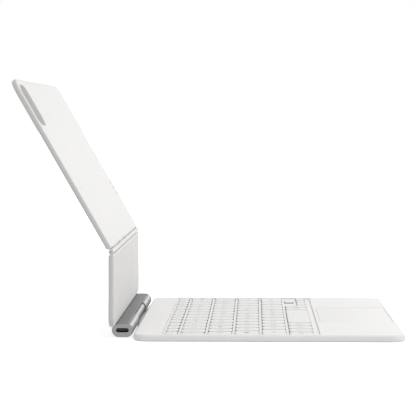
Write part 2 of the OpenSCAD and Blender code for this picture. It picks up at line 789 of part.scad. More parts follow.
// Round-edged plate of the barrel's section, with its outer face at x = 0 and growing along +X
module cap_plate() {
    rotate([90, 0, 90]) {
        for (s = [0, 1]) translate([s * barrel_rear, 0, 0]) rotate([0, 0, s == 0 ? 90 : -90])
            rotate_extrude(angle = 180) rim_section(barrel_r, cap_t, cap_edge_r, 0);
        for (s = [0, 1]) mirror([0, s, 0]) rotate([90, 0, 90])
            linear_extrude(barrel_rear) rim_section(barrel_r, cap_t, cap_edge_r, 0);
    }
}

module cap_spigot(len) {
    along_barrel(-tube_half, -tube_half + len) barrel_section(housing_r);
}

module barrel_cap_left() {
    color("silver") difference() {
        translate([-barrel_len / 2, axis_y, axis_z]) cap_plate();
        along_barrel(-barrel_len / 2 - OPEN, -tube_half + OPEN)
            translate([barrel_rear / 2, 0]) slot_section(port_w, port_h);
    }
}

module barrel_cap_right() {
    color("silver") mirror([1, 0, 0]) {
        translate([-barrel_len / 2, axis_y, axis_z]) cap_plate();
        cap_spigot(3);
    }
}

// Block that fills the barrel's hollow and holds the shaft and its clips
module hinge_housings() {
    color("gray") both_sides() difference() {
        along_barrel(cavity_start, housing_end) barrel_section(housing_r);
        along_barrel(cavity_start - OPEN, housing_end + OPEN) circle(shaft_r + shaft_clear);
        along_barrel(clip_start - 0.4, clips_end) {
            circle(clip_r + FIT);
            translate([0, -clip_tail / 2 - FIT]) square([barrel_rear + 0.6, clip_tail + 2 * FIT]);
        }
    }
}

// Spring clips that grip the shaft, each with a tail in the housing's slot
module friction_clips() {
    color("darkgray") both_sides() for (i = [0:clip_count - 1])
        along_barrel(clip_start + i * clip_pitch, clip_start + i * clip_pitch + clip_w)
            difference() {
                union() {
                    circle(clip_r);
                    translate([0, -clip_tail / 2]) square([barrel_rear + 0.4, clip_tail]);
                }
                circle(shaft_r + shaft_clear);
            }
}

port_x = -tube_half;
port_shell_w = port_w + 2 * port_wall;
port_shell_h = port_h + 2 * port_wall;

module port_shell() {
    color("silver") along_barrel(port_x, port_x + port_len) translate([barrel_rear / 2, 0])
        difference() {
            slot_section(port_shell_w, port_shell_h);
            slot_section(port_w, port_h);
        }
}

module port_tongue() {
    color("black") {
        along_barrel(port_x + 0.8, port_x + port_len - 2) translate([barrel_rear / 2, 0])
            square([tongue_w, tongue_t], center = true);
        along_barrel(port_x + port_len - 2, port_x + port_len) translate([barrel_rear / 2, 0])
            slot_section(port_w, port_h);
    }
}

module port_holder() {
    color("dimgray") difference() {
        cap_spigot(port_len + 1.5);
        along_barrel(port_x - OPEN, port_x + port_len) translate([barrel_rear / 2, 0])
            slot_section(port_shell_w, port_shell_h);
    }
}

// Dark strip between the barrel's round back and the lower panel's foot
module barrel_seal() {
    color("dimgray") difference() {
        along_barrel(-tube_half, tube_half) difference() {
            intersection() {
                barrel_section(barrel_r + foot_gap);
                translate([panel_in, foot_rise]) square([panel_t, barrel_r]);
            }
            barrel_section(barrel_r);
        }
        on_lower() lower_tab(FIT);
    }
}

// ---- Lower panel ---------------------------------------------------------------------------

lower_len = lower_top - foot_z;

// Plate of the lower panel's outline between two depths, its upper end cut off at the crease
module lower_plate(z0, z1, low_r, high_r) {
    over = 2 * lower_corner_r;
    intersection() {
        translate([0, foot_z + (lower_len + over) / 2, z0])
            soft_plate(case_w, lower_len + over, lower_corner_r, z1 - z0, low_r, high_r);
        translate([-case_w, foot_z - OPEN, z0 - OPEN])
            cube([2 * case_w, lower_len + OPEN, z1 - z0 + 2 * OPEN]);
    }
}

// Flat outline of the lower core, inside both skins
module lower_inside(inset) {
    w = case_w - 2 * (skin_wall + inset);
    r = lower_corner_r - skin_wall;
    low = foot_z + foot_wall + inset;
    high = lower_top - skin_wall - inset;
    intersection() {
        translate([0, low + lower_len]) round_rect(w, 2 * lower_len, r);
        translate([-w, low]) square([2 * w, high - low]);
    }
}

// Rounds a panel's outer or inner edge at one of its ends
module end_round(y, z, up, inward, r = panel_edge_r) {
    translate([0, y, z]) rotate([90, 0, 90]) linear_extrude(2 * case_w, center = true)
        scale([up, inward]) corner_trim(r);
}

// Room for the barrel's round back, cut out of the foot
module barrel_room() {
    along_barrel(-case_w, case_w) barrel_section(barrel_r + foot_gap);
}

// Pocket of a crease leaf, from the height y0 up the panel
module crease_leaf_pocket(y0) {
    translate([-crease_half - FIT, y0, (panel_t - crease_leaf_t - FIT) / 2])
        cube([2 * (crease_half + FIT), crease_leaf_d + panel_stop, crease_leaf_t + FIT]);
}

module lower_outer_skin() {
    color("white") difference() {
        on_lower() difference() {
            lower_plate(0, skin_seam, panel_edge_r, 0);
            translate([0, 0, skin_face]) linear_extrude(panel_t) lower_inside(0);
            end_round(lower_top - panel_edge_r, panel_edge_r, 1, -1);
            end_round(foot_z + foot_round_r, foot_round_r, -1, -1, foot_round_r);
            crease_leaf_pocket(lower_top - crease_leaf_d);
            lower_tab(FIT);
        }
        barrel_room();
    }
}

module lower_inner_skin() {
    color("gainsboro") difference() {
        on_lower() difference() {
            lower_plate(skin_seam, panel_t, 0, panel_edge_r);
            translate([0, 0, -skin_face]) linear_extrude(panel_t) lower_inside(0);
            end_round(lower_top - panel_edge_r, panel_t - panel_edge_r, 1, 1);
            crease_leaf_pocket(lower_top - crease_leaf_d);
            lower_tab(FIT);
        }
        barrel_room();
    }
}

// Tab of the core that stands in the barrel's slot
module lower_tab(gap) {
    translate([-tab_half - gap, foot_z - tab_depth - gap, tab_z - gap])
        cube([2 * (tab_half + gap), tab_depth + foot_wall + 2 * FIT + 2 * gap, tab_t + 2 * gap]);
}

// Run of the flat cable up the lower panel's core
module lower_cable_run(gap) {
    translate([cable_x - gap, foot_z + foot_wall + FIT, cable_z])
        cube([cable_w + 2 * gap, lower_len - foot_wall - skin_wall - 2 * FIT, cable_t]);
}

module cable_lower() {
    color("orange") on_lower() lower_cable_run(0);
}

module lower_core() {
    color("lightgray") on_lower() difference() {
        union() {
            translate([0, 0, core_face]) linear_extrude(core_t) lower_inside(FIT);
            lower_tab(0);
        }
        crease_leaf_pocket(lower_top - crease_leaf_d);
        lower_cable_run(FIT);
    }
}

// ---- Crease --------------------------------------------------------------------------------

// Knuckle number i of the crease, with the web that joins it to its leaf
module crease_knuckle(i, bore, up) {
    x0 = -crease_half + i * knuckle_step;
    translate([x0, 0, panel_t / 2]) rotate([90, 0, 90])
        linear_extrude(knuckle_step - crease_side_gap) difference() {
            union() {
                circle(crease_r);
                translate([up > 0 ? 0 : -panel_stop - 1, -crease_leaf_t / 2])
                    square([panel_stop + 1, crease_leaf_t]);
            }
            circle(bore);
        }
}

// Leaf in the panel from the crease's end inwards
module crease_leaf(up) {
    y0 = up > 0 ? panel_stop : -crease_leaf_d - panel_stop + FIT;
    translate([-crease_half, y0, panel_t / 2 - crease_leaf_t / 2])
        cube([2 * crease_half, crease_leaf_d - FIT, crease_leaf_t]);
}

module crease_leaf_lower() {
    color("white") on_lower() translate([0, crease_z, 0]) {
        crease_leaf(-1);
        for (i = [0:2:crease_knuckles - 1]) crease_knuckle(i, crease_pin_r, -1);
    }
}

module crease_leaf_upper() {
    color("white") on_upper() {
        crease_leaf(1);
        for (i = [1:2:crease_knuckles - 1])
            crease_knuckle(i, crease_pin_r + crease_pin_clear, 1);
    }
}

module crease_pin() {
    color("silver") translate([-crease_half, panel_y, crease_z]) rotate([0, 90, 0])
        cylinder(r = crease_pin_r, h = 2 * crease_half - crease_side_gap);
}

// ---- Upper panel ---------------------------------------------------------------------------

upper_start = panel_stop;

module upper_plate(z0, z1, low_r, high_r) {
    over = 2 * upper_corner_r;
    intersection() {
        translate([0, upper_start + (upper_len - upper_start - over) / 2, z0])
            soft_plate(case_w, upper_len - upper_start + over, upper_corner_r, z1 - z0,
                       low_r, high_r);
        translate([-case_w, upper_start, z0 - OPEN])
            cube([2 * case_w, upper_len, z1 - z0 + 2 * OPEN]);
    }
}

module upper_inside(inset) {
    w = case_w - 2 * (skin_wall + inset);
    len = upper_len - upper_start;
    low = upper_start + skin_wall + inset;
    high = upper_len - skin_wall - inset;
    difference() {
        intersection() {
            translate([0, high - len]) round_rect(w, 2 * len, upper_corner_r - skin_wall);
            translate([-w, low]) square([2 * w, high - low]);
        }
        window_outline(skin_wall + inset);
    }
}

// Mitre at the outer edge of the crease end, so that the panel can lean back
module upper_mitre() {
    mitre = 1.1;
    translate([0, upper_start, 0]) rotate([90, 0, 90])
        linear_extrude(2 * case_w, center = true)
            polygon([[-OPEN, -OPEN], [mitre, -OPEN], [mitre, 0], [0, skin_seam], [-OPEN, skin_seam]]);
}

module window_outline(grow) {
    translate([window_x, window_y])
        round_rect(window + 2 * grow, window + 2 * grow, window_r + grow);
}

module window_hole() {
    translate([0, 0, -OPEN]) linear_extrude(panel_t + 2 * OPEN) window_outline(0);
}

module contact_hole(gap) {
    translate([contact_x, contact_up, panel_t / 2]) linear_extrude(panel_t)
        round_rect(contact_w + 2 * gap, contact_len + 2 * gap, contact_w / 2 - 1 + gap);
}

module upper_outer_skin() {
    color("white") on_upper() difference() {
        upper_plate(0, skin_seam, panel_edge_r, 0);
        translate([0, 0, skin_face]) linear_extrude(panel_t) upper_inside(0);
        upper_mitre();
        crease_leaf_pocket(0);
        window_hole();
    }
}

module upper_inner_skin() {
    color("gainsboro") on_upper() difference() {
        upper_plate(skin_seam, panel_t, 0, panel_edge_r);
        translate([0, 0, -skin_face]) linear_extrude(panel_t) upper_inside(0);
        end_round(upper_start + panel_edge_r, panel_t - panel_edge_r, -1, 1);
        crease_leaf_pocket(0);
        window_hole();
        contact_hole(FIT / 2);
    }
}

// Magnets in the upper panel: rows down from its top, and as many columns as fit
magnet_side = 18;
magnet_gap = 9;
magnet_rise = 14.5;
magnet_row_pitch = 38.5;
magnet_step = magnet_len + magnet_gap;
column_count = floor((case_w - 2 * magnet_side + magnet_gap) / magnet_step);
magnet_rows = [for (i = [0:2]) upper_len - magnet_rise - i * magnet_row_pitch];
magnet_columns = [for (i = [0:column_count - 1]) (i - (column_count - 1) / 2) * magnet_step];
magnet_space = 3;

function is_clear(x, y) =
    (abs(x - window_x) > (window + magnet_len) / 2 + magnet_space
        || abs(y - window_y) > (window + magnet_w) / 2 + magnet_space)
    && (abs(x - contact_x) > (contact_w + magnet_len) / 2 + magnet_space
        || abs(y - contact_up) > (contact_len + magnet_w) / 2 + magnet_space);

module each_magnet() {
    for (x = magnet_columns, y = magnet_rows)
        if (is_clear(x, y)) translate([x, y, panel_t - skin_face - magnet_t]) children();
}

// Run of the flat cable: up from the crease, across the panel and up to the contact pad
module upper_cable_run(gap) {
    low = upper_start + skin_wall + FIT;
    turn = upper_start + crease_leaf_d + 2;
    w = cable_w + 2 * gap;
    translate([0, 0, cable_z]) linear_extrude(cable_t) {
        translate([cable_x - gap, low]) square([w, turn + cable_w + gap - low]);
        translate([cable_x - gap, turn - gap]) square([contact_x + w / 2 - cable_x + gap, w]);
        translate([contact_x - w / 2, turn - gap])
            square([w, contact_up - contact_len / 2 - FIT - turn + gap]);
    }
}

module cable_upper() {
    color("orange") on_upper() upper_cable_run(0);
}

module upper_core() {
    color("lightgray") on_upper() difference() {
        translate([0, 0, core_face]) linear_extrude(core_t) upper_inside(FIT);
        crease_leaf_pocket(0);
        contact_hole(FIT / 2);
        each_magnet() translate([-magnet_len / 2 - FIT, -magnet_w / 2 - FIT, -FIT])
            cube([magnet_len + 2 * FIT, magnet_w + 2 * FIT, magnet_t + OPEN]);
        upper_cable_run(FIT);
    }
}

module upper_magnets() {
    color("gray") on_upper() each_magnet()
        translate([-magnet_len / 2, -magnet_w / 2, 0]) cube([magnet_len, magnet_w, magnet_t]);
}

contact_depth = panel_t / 2;

module contact_pad() {
    color("white") on_upper() translate([contact_x, contact_up, panel_t / 2]) difference() {
        linear_extrude(contact_depth) round_rect(contact_w, contact_len, contact_w / 2 - 1);
        for (i = [-1:1]) translate([0, i * contact_pitch, 0.5])
            cylinder(r = contact_r + 0.06, h = panel_t);
    }
}

module contact_pins() {
    color("gold") on_upper() for (i = [-1:1])
        translate([contact_x, contact_up + i * contact_pitch, panel_t / 2 + 0.5 + contact_proud])
            cylinder(r = contact_r, h = contact_depth - 0.5);
}

// ---- Assembly ------------------------------------------------------------------------------

base_bottom_cover();
base_top_cover();
base_frame();
light_sheet();
switch_sheet();
key_domes();
key_links();
key_web();
trackpad_glass();
trackpad_board();
trackpad_springs();
click_switch();
deck_magnets();
control_board();
hinge_leaf();
leaf_screws();
hinge_knuckle();
hinge_shafts();
barrel_tube();
barrel_cap_left();
barrel_cap_right();
hinge_housings();
friction_clips();
port_shell();
port_tongue();
port_holder();
barrel_seal();
lower_outer_skin();
lower_core();
lower_inner_skin();
crease_leaf_lower();
crease_pin();
crease_leaf_upper();
upper_outer_skin();
upper_core();
upper_inner_skin();
upper_magnets();
contact_pad();
contact_pins();
cable_lower();
cable_upper();
for (g = KEY_GROUPS) key_group(g[1]);
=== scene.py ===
"""Tablet keyboard case: finishes for its shells, barrel and inner parts, dished and lettered key
caps, and the studio around it. Run as a script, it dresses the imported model."""

import json
import math

import bpy
import numpy as np
from bpy.props import FloatProperty, FloatVectorProperty, IntProperty, PointerProperty
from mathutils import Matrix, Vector


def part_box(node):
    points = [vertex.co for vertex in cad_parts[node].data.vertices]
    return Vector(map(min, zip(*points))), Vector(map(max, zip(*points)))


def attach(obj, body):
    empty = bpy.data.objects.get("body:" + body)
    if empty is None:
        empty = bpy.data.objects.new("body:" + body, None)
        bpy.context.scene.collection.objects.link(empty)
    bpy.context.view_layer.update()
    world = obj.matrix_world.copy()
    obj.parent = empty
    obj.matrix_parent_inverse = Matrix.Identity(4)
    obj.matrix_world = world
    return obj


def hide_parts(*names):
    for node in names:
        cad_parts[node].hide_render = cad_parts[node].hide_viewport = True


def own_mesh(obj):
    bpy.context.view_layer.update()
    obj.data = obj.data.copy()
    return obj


bl_info = {
    "name": "Tablet Keyboard Case",
    "version": (1, 0, 0),
    "blender": (4, 5, 0),
    "location": "3D Viewport > Sidebar > Case",
    "description": "Dresses a tablet keyboard case with finishes, lettered keys and a studio",
    "category": "Object",
}

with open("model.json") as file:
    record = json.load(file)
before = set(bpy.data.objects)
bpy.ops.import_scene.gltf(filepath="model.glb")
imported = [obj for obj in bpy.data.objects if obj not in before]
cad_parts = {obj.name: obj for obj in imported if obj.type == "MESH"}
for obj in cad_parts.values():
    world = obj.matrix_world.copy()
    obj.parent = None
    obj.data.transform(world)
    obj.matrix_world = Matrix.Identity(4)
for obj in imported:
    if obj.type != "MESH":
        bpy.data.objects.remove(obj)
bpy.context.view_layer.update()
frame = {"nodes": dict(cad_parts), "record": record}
NODES = frame["nodes"]
BODY_OF = {node: body for body, nodes in frame["record"]["behaviour"]["bodies"].items()
           for node in nodes}
MM = 0.001
MERGE_STEP = 0.0005 * MM    # corners nearer than about this become one
SOLID_GAP = 0.5 * MM        # least gap between two solids of a node, along X
RIM_CHAMFER = 0.1 * MM      # at the foot of a cap
LEAST_CORNER = 0.05 * MM    # a corner's radius when it is moved far inwards
SKIN = 0.05 * MM            # depth under the tube's round outside that counts as outside
FONT_SIZE = 1.4             # size of the font for capital letters one unit tall
WEB_STEPS = 6               # faces round a corner of the whole web
SHALLOW_KEY = 9 * MM        # caps less deep than this have smaller signs
SHALLOW_SIGN = 0.55         # share of a sign's height on such a cap
SIGN_DEPTH = 0.85           # share of the dish at which a sign's middle lies

# Legends of each key node, left to right, as plain signs
LEGENDS = {
    "key_escape": ["○"],
    "keys_function": "1 2 3 4 5 6 7 8 9 10 11 12 ●".split(),
    "keys_digits": "` 1 2 3 4 5 6 7 8 9 0 - =".split(),
    "key_delete": ["⌫"],
    "key_tab": ["→"],
    "keys_upper_letters": "Q W E R T Y U I O P [ ] /".split(),
    "key_caps_lock": ["●"],
    "keys_home_letters": "A S D F G H J K L ; '".split(),
    "key_return": ["↓"],
    "key_shift_left": ["⇧"],
    "keys_lower_letters": "Z X C V B N M < > ?".split(),
    "key_shift_right": ["⇧"],
    "keys_modifiers_left": "○ ^ □ ◇".split(),
    "key_space": [""],
    "keys_modifiers_right": "◇ □".split(),
    "key_arrow_left": ["◂"],
    "key_arrow_up": ["▴"],
    "key_arrow_down": ["▾"],
    "key_arrow_right": ["▸"],
}


def colour_property(name, default, description):
    """Colour, in linear red, green and blue."""
    return FloatVectorProperty(name=name, description=description, default=default, size=3,
                               min=0, max=1, subtype="COLOR")


def length_property(name, default, description):
    """Length, whose default is given in millimetres."""
    return FloatProperty(name=name, description=description, default=default * MM, min=0,
                         unit="LENGTH", precision=5)


def place_property(name, default, description):
    """Place in metres."""
    return FloatVectorProperty(name=name, description=description, default=default, size=3,
                               subtype="TRANSLATION")


class CaseFinish(bpy.types.PropertyGroup):
    """Colours and grain of the case's surfaces"""

    deck: colour_property("Deck", (0.885, 0.877, 0.860), "Soft coating of the deck's covers")
    outer: colour_property("Outer skins", (0.78, 0.772, 0.758), "Outer skins of both panels")
    # Painted shade: the panels' side edges, where they face along X, are darker than the outer
    # skins to stand for the less light they get.
    edge: colour_property("Edges", (0.65, 0.642, 0.63), "Side edges of both panels' outer skins")
    # Painted shade: the inner skins are darker than the deck's coating of the same white, standing
    # for the shade over the panels' inner faces.
    inner: colour_property("Inner skins", (0.68, 0.673, 0.66), "Inner skins of both panels")
    keys: colour_property("Keys", (0.84, 0.833, 0.818), "Moulded key caps")
    web: colour_property("Web", (0.88, 0.872, 0.855), "Web between the key caps")
    # Painted shade: the walls of the web's openings are darker below the web's top, standing for
    # the shade in the openings.
    web_wall: colour_property("Web walls", (0.42, 0.416, 0.41), "Walls of the web's openings")
    # Painted shade: the sides of the key caps are near black below the top, standing for the shade
    # in the gaps between caps and web.
    skirt: colour_property("Key skirts", (0.12, 0.12, 0.12), "Sides of the key caps")
    legend: colour_property("Legends", (0.22, 0.22, 0.225), "Signs on the key caps")
    trackpad: colour_property("Trackpad", (0.82, 0.812, 0.80), "Etched glass of the trackpad")
    barrel: colour_property("Barrel", (0.275, 0.277, 0.283), "Anodised aluminium of the barrel")
    # Painted shade: the barrel's inside and the lips over the knuckle are near black, standing for
    # the shadow in the slit beside the knuckle.
    tube_slit_shade: colour_property("Tube's inside", (0.015, 0.015, 0.016),
                                 "Inside of the barrel and the lips over the knuckle")
    # Painted shade in a lighter tone: the cut walls that face along X are grey rather than near
    # black, so the slit's painted shadow stays off them.
    tube_ends_lighter_painted_shade: colour_property("Tube's cut ends", (0.30, 0.30, 0.305),
                               "Cut walls of the barrel that face along its length")
    grain: length_property("Grain", 0.35, "Size of the soft coating's grain")


class CaseKeys(bpy.types.PropertyGroup):
    """Shape of the key caps and their signs"""

    corner: length_property("Corner radius", 2.3, "Corner of a cap, seen from above")
    edge: length_property("Edge radius", 0.3, "Rounding of a cap's upper edge")
    wall: length_property("Wall", 0.7, "Side wall of a cap")
    roof: length_property("Roof", 0.8, "Thickness of a cap's top")
    dish: length_property("Dish", 0.06, "Depth of the hollow in a cap's top")
    corner_steps: IntProperty(name="Corner steps", description="Faces round a corner",
                              default=7, min=2, max=16)
    free: length_property("Free space", 2.8, "Space between two solids of caps, side to side")
    rib: length_property("Rib", 1.8, "Width of the web between two caps")
    slit: length_property("Slit", 0.35, "Gap between a cap and the web")
    web_drop: length_property("Web drop", 0.75, "How far the web lies under the caps' tops")
    web_depth: length_property("Web depth", 1.3, "Depth of the web's ribs")
    web_corner: length_property("Web corner", 0.4, "Corner of the web's openings")
    web_outer: length_property("Web's outer corner", 1.9, "Corner of the whole web")
    web_wall: length_property("Web's wall", 0.6, "Thickness of the skirt round the web")
    fold_gap: length_property("Fold gap", 0.05, "Space over a folded dome or link")
    sign_height: length_property("Sign height", 3.4, "Height of a letter on a cap")
    sign_thickness: length_property("Sign thickness", 0.04, "Thickness of a printed sign")


class CaseStage(bpy.types.PropertyGroup):
    """Studio around the case"""

    camera: place_property("Camera", (-1.25311, 0.00977, 0.14287), "Place of the camera")
    turn: FloatProperty(name="Turn", description="Camera's turn from +X towards +Y",
                        default=math.radians(1.5503), subtype="ANGLE")
    dip: FloatProperty(name="Dip", description="Camera's dip below the level",
                       default=math.radians(2.7765), subtype="ANGLE")
    lens: FloatProperty(name="Lens", description="Focal length in millimetres on a 36 mm sensor",
                        default=149.6, min=10)
    sky: FloatProperty(name="Sky", description="Strength of the even light from all round",
                       default=0.60, min=0)
    front_place: place_property("Front lamp", (-0.45, -0.95, 1.25), "Place of the front lamp")
    front_size: FloatProperty(name="Front lamp's size", description="Diameter of the front lamp",
                              default=1.2, min=0.01, unit="LENGTH")
    front_light: FloatProperty(name="Front light", description="Power of the large lamp in front",
                               default=9.0, min=0, unit="POWER")
    rim_place: place_property("Rim lamp", (1.80, -0.65, 0.60), "Place of the rim lamp")
    rim_size: FloatProperty(name="Rim lamp's size", description="Diameter of the rim lamp",
                            default=0.6, min=0.01, unit="LENGTH")
    rim_light: FloatProperty(name="Rim light", description="Power of the lamp beyond the far end",
                             default=8.5, min=0, unit="POWER")
    near_glow: FloatProperty(name="Near glow", default=0.58, min=0, max=1,
                             description="Share of white that the floor adds near the case")
    near_reach: FloatProperty(name="Near reach", description="Where the near glow starts to rise",
                              default=0.25, min=0, unit="LENGTH")
    far_reach: FloatProperty(name="Far reach", description="Where the floor glows fully white",
                             default=1.0, min=0, unit="LENGTH")
    floor_half: FloatProperty(name="Floor", description="Half of the floor's side",
                              default=30.0, min=1, unit="LENGTH")


# ---- Surfaces ------------------------------------------------------------------------------


def outline(half_w, half_d, radii, steps):
    """Rectangle with round corners, anticlockwise from the right back one: each corner is a
    quarter circle about a point that lies one radius inside both of its sides."""
    angle = np.linspace(0, math.pi / 2, steps + 1)
    quarter = np.c_[np.cos(angle), np.sin(angle)]
    points = []
    for turn, (sx, sy) in enumerate([(1, 1), (-1, 1), (-1, -1), (1, -1)]):
        c, s = round(math.cos(turn * math.pi / 2)), round(math.sin(turn * math.pi / 2))
        turned = quarter @ np.array([[c, s], [-s, c]])
        radius = radii[turn]
        points.append(turned * radius + [sx * (half_w - radius), sy * (half_d - radius)])
    return np.concatenate(points)


def ring(half_w, half_d, radius, inset, height, steps):
    """Outline moved inwards by inset, at a height. The corner's radius, one or four, shrinks
    with the inset and stops at the least corner."""
    smaller = np.maximum(np.broadcast_to(radius, 4) - inset, LEAST_CORNER)
    flat = outline(half_w - inset, half_d - inset, smaller, steps)
    return np.c_[flat, np.full(len(flat), height)]


def loft(rings, hollow=False):
    """Skin through rings of equal length: each pair of neighbours is joined by four-sided faces.
    A flat face closes each end, or the last ring joins the first round a hollow."""
    rings = np.asarray(rings)
    rows, count = rings.shape[:2]
    index = np.arange(rows * count).reshape(rows, count)
    low, high = (index, np.roll(index, -1, 0)) if hollow else (index[:-1], index[1:])
    quads = np.stack([low, np.roll(low, -1, 1), np.roll(high, -1, 1), high], -1)
    faces = quads.reshape(-1, 4).tolist()
    if not hollow:
        faces += [index[0][::-1].tolist(), index[-1].tolist()]
    return rings.reshape(-1, 3), faces


def joined(shapes):
    """One set of points and faces out of several."""
    points, faces, start = [], [], 0
    for shape_points, shape_faces in shapes:
        points.append(shape_points)
        faces += [[i + start for i in face] for face in shape_faces]
        start += len(shape_points)
    return np.concatenate(points), faces


def merged(points, faces):
    """The same faces on fewer points: coordinates are rounded to a step, and points that are
    then equal become one."""
    steps = np.round(points / MERGE_STEP).astype(int)
    places, index = np.unique(steps, axis=0, return_inverse=True)
    index = index.reshape(-1)
    return places * MERGE_STEP, [index[face].tolist() for face in faces]


def new_piece(name, points, faces, material, body, sharp=40):
    """Object of these faces, smooth but for edges sharper than an angle in degrees."""
    mesh = bpy.data.meshes.new(name)
    mesh.from_pydata(np.asarray(points).tolist(), [], faces)
    mesh.shade_smooth()
    mesh.set_sharp_from_angle(angle=math.radians(sharp))
    mesh.materials.append(material)
    piece = bpy.data.objects.new(name, mesh)
    bpy.context.scene.collection.objects.link(piece)
    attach(piece, body)
    return piece


# ---- Finishes ------------------------------------------------------------------------------


def shader_nodes(name):
    """New material, its node tree and its shader."""
    material = bpy.data.materials.new(name)
    material.use_nodes = True
    tree = material.node_tree
    return material, tree, tree.nodes["Principled BSDF"]


def object_coordinates(tree):
    return tree.nodes.new("ShaderNodeTexCoord").outputs["Object"]


def maths(tree, operation, first, second=None):
    """Output of a Math node on sockets or numbers."""
    node = tree.nodes.new("ShaderNodeMath")
    node.operation = operation
    for socket, value in zip(node.inputs, (first, second)):
        if isinstance(value, bpy.types.NodeSocket):
            tree.links.new(value, socket)
        elif value is not None:
            socket.default_value = value
    return node.outputs[0]


def facing_x(tree):
    """One where the surface faces along X, within about 53 degrees, and nought elsewhere."""
    apart = tree.nodes.new("ShaderNodeSeparateXYZ")
    tree.links.new(tree.nodes.new("ShaderNodeTexCoord").outputs["Normal"], apart.inputs[0])
    return maths(tree, "GREATER_THAN", maths(tree, "ABSOLUTE", apart.outputs["X"]), 0.6)


def add_noise(tree, size, detail=2.0):
    """Noise whose lumps are about size across."""
    noise = tree.nodes.new("ShaderNodeTexNoise")
    noise.inputs["Scale"].default_value = 1 / size
    noise.inputs["Detail"].default_value = detail
    tree.links.new(object_coordinates(tree), noise.inputs["Vector"])
    return noise.outputs["Fac"]


def add_mottle(tree, shader, colour, size, share):
    """Base colour that wanders by a share of itself over lumps of a size."""
    ramp = tree.nodes.new("ShaderNodeValToRGB")
    low, high = ramp.color_ramp.elements
    low.position, high.position = 0.35, 0.65
    low.color = (*[c * (1 - share) for c in colour], 1)
    high.color = (*[min(c * (1 + share), 1) for c in colour], 1)
    tree.links.new(add_noise(tree, size, 4.0), ramp.inputs["Fac"])
    tree.links.new(ramp.outputs["Color"], shader.inputs["Base Color"])


def mix_under(tree, shader, colour, factor):
    """Another base colour where the factor is nought, under the one that is linked."""
    mix = tree.nodes.new("ShaderNodeMix")
    mix.data_type = "RGBA"
    mix.inputs["A"].default_value = (*colour, 1)
    tree.links.new(factor, mix.inputs["Factor"])
    tree.links.new(shader.inputs["Base Color"].links[0].from_socket, mix.inputs["B"])
    tree.links.new(mix.outputs["Result"], shader.inputs["Base Color"])


def add_grain(tree, shader, size, depth, detail=3.0):
    """Bumps of a size and a depth, both in metres."""
    bump = tree.nodes.new("ShaderNodeBump")
    bump.inputs["Strength"].default_value = 1.0
    bump.inputs["Distance"].default_value = depth
    tree.links.new(add_noise(tree, size, detail), bump.inputs["Height"])
    tree.links.new(bump.outputs["Normal"], shader.inputs["Normal"])


def soft_coating(name, colour):
    """Matt coating with a fine even grain, as on a soft-touch case."""
    material, tree, shader = shader_nodes(name)
    shader.inputs["Roughness"].default_value = 0.62
    shader.inputs["Specular IOR Level"].default_value = 0.35
    shader.inputs["Sheen Weight"].default_value = 0.06
    add_mottle(tree, shader, colour, 18 * MM, 0.012)
    add_grain(tree, shader, bpy.context.scene.case_finish.grain, 0.006 * MM)
    return material


def side_shaded_coating(name, colour, edge):
    """Soft coating with painted shade on its side edges: where the surface faces along X it takes
    the darker edge colour, which stands for those edges lying in less light.
    """
    material = soft_coating(name, colour)
    tree = material.node_tree
    # Painted shade: the darker edge colour goes where the surface faces along X.
    flat = maths(tree, "SUBTRACT", 1, facing_x(tree))
    mix_under(tree, tree.nodes["Principled BSDF"], edge, flat)
    return material


def moulded_plastic(name, colour, roughness=0.5, specular=0.4):
    """Moulded plastic with a light spark-eroded texture."""
    material, tree, shader = shader_nodes(name)
    shader.inputs["Roughness"].default_value = roughness
    shader.inputs["Specular IOR Level"].default_value = specular
    add_mottle(tree, shader, colour, 9 * MM, 0.01)
    add_grain(tree, shader, 0.2 * MM, 0.002 * MM)
    return material


def blasted_metal(name, colour, roughness=0.36, grain=0.003, edge_tint=0.6):
    """Metal with a fine blasted surface under its anodised or plated layer."""
    material, tree, shader = shader_nodes(name)
    shader.inputs["Metallic"].default_value = 1.0
    shader.inputs["Roughness"].default_value = roughness
    shader.inputs["Specular Tint"].default_value = (edge_tint, edge_tint, edge_tint, 1)
    add_mottle(tree, shader, colour, 12 * MM, 0.02)
    add_grain(tree, shader, 0.12 * MM, grain * MM)
    return material


def tube_metal_with_slit_shade(name, colour, inside, ends):
    """Blasted metal whose cut walls and inside are dull, non-metallic and carry painted shade, in
    one colour where they face
    along X and in another elsewhere: near black across X, standing for the shadow in the slit over
    the knuckle, and a lighter grey along X. A mask compares a point's distance from the stadium's
    middle line with the tube's radius, less the skin."""
    material = blasted_metal(name, colour)
    tree = material.node_tree
    shader = tree.nodes["Principled BSDF"]
    low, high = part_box("barrel_tube")
    radius = (high[2] - low[2]) / 2
    apart = tree.nodes.new("ShaderNodeSeparateXYZ")
    tree.links.new(object_coordinates(tree), apart.inputs[0])
    across = maths(tree, "SUBTRACT", apart.outputs["Y"], (high[1] + low[1]) / 2)
    across = maths(tree, "ABSOLUTE", across)
    across = maths(tree, "SUBTRACT", across, (high[1] - low[1]) / 2 - radius)
    across = maths(tree, "MAXIMUM", across, 0)
    up = maths(tree, "SUBTRACT", apart.outputs["Z"], (high[2] + low[2]) / 2)
    squares = maths(tree, "ADD", maths(tree, "MULTIPLY", across, across),
                    maths(tree, "MULTIPLY", up, up))
    outside = maths(tree, "GREATER_THAN", maths(tree, "SQRT", squares), radius - SKIN)
    along = facing_x(tree)
    # Painted shade: near black inside where the wall faces across X.
    mix_under(tree, shader, inside, maths(tree, "MAXIMUM", outside, along))
    across_x = maths(tree, "SUBTRACT", 1, along)
    # Painted shade, lighter: grey where the cut walls face along X.
    mix_under(tree, shader, ends, maths(tree, "MAXIMUM", outside, across_x))
    tree.links.new(outside, shader.inputs["Metallic"])
    dull, blasted = 0.9, 0.36
    smoother = maths(tree, "MULTIPLY", outside, dull - blasted)
    tree.links.new(maths(tree, "SUBTRACT", dull, smoother), shader.inputs["Roughness"])
    return material


